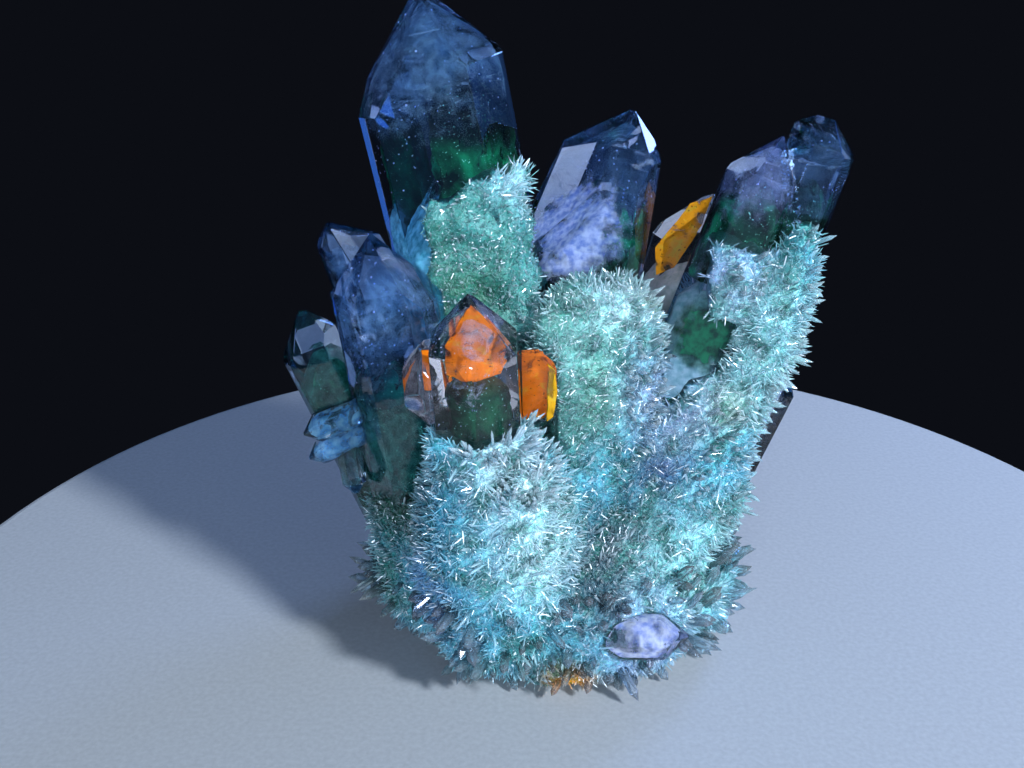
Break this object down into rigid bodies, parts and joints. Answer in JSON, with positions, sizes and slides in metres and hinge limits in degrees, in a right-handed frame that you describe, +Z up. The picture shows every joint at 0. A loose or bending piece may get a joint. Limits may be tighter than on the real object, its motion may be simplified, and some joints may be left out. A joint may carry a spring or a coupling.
{
  "type": "garden quartz crystal cluster",
  "caption": "Cluster of clear six-sided quartz points with green and orange inclusions, grown out of a pale druse of fine needles, cut off flat below to stand on.",
  "frame": {"origin": "middle of the flat underside that the cluster rests on", "axes": "+Z up from the flat underside, -Y towards the side with the front point, +X towards the leaning pair of points"},
  "size_m": [0.0881, 0.0658, 0.102],
  "materials": {
    "drusy_quartz": "glossy, pale sea-green needles",
    "clear_quartz": "clear, natural glossy crystal faces",
    "chlorite_phantom": "dark green inclusion inside the clear points",
    "milky_veil": "cloudy white inclusion inside the clear points",
    "iron_stain": "orange iron oxide inclusion and stain"
  },
  "bodies": {
    "root": {"quartz_cluster": "drusy_quartz"}
  },
  "joints": []
}
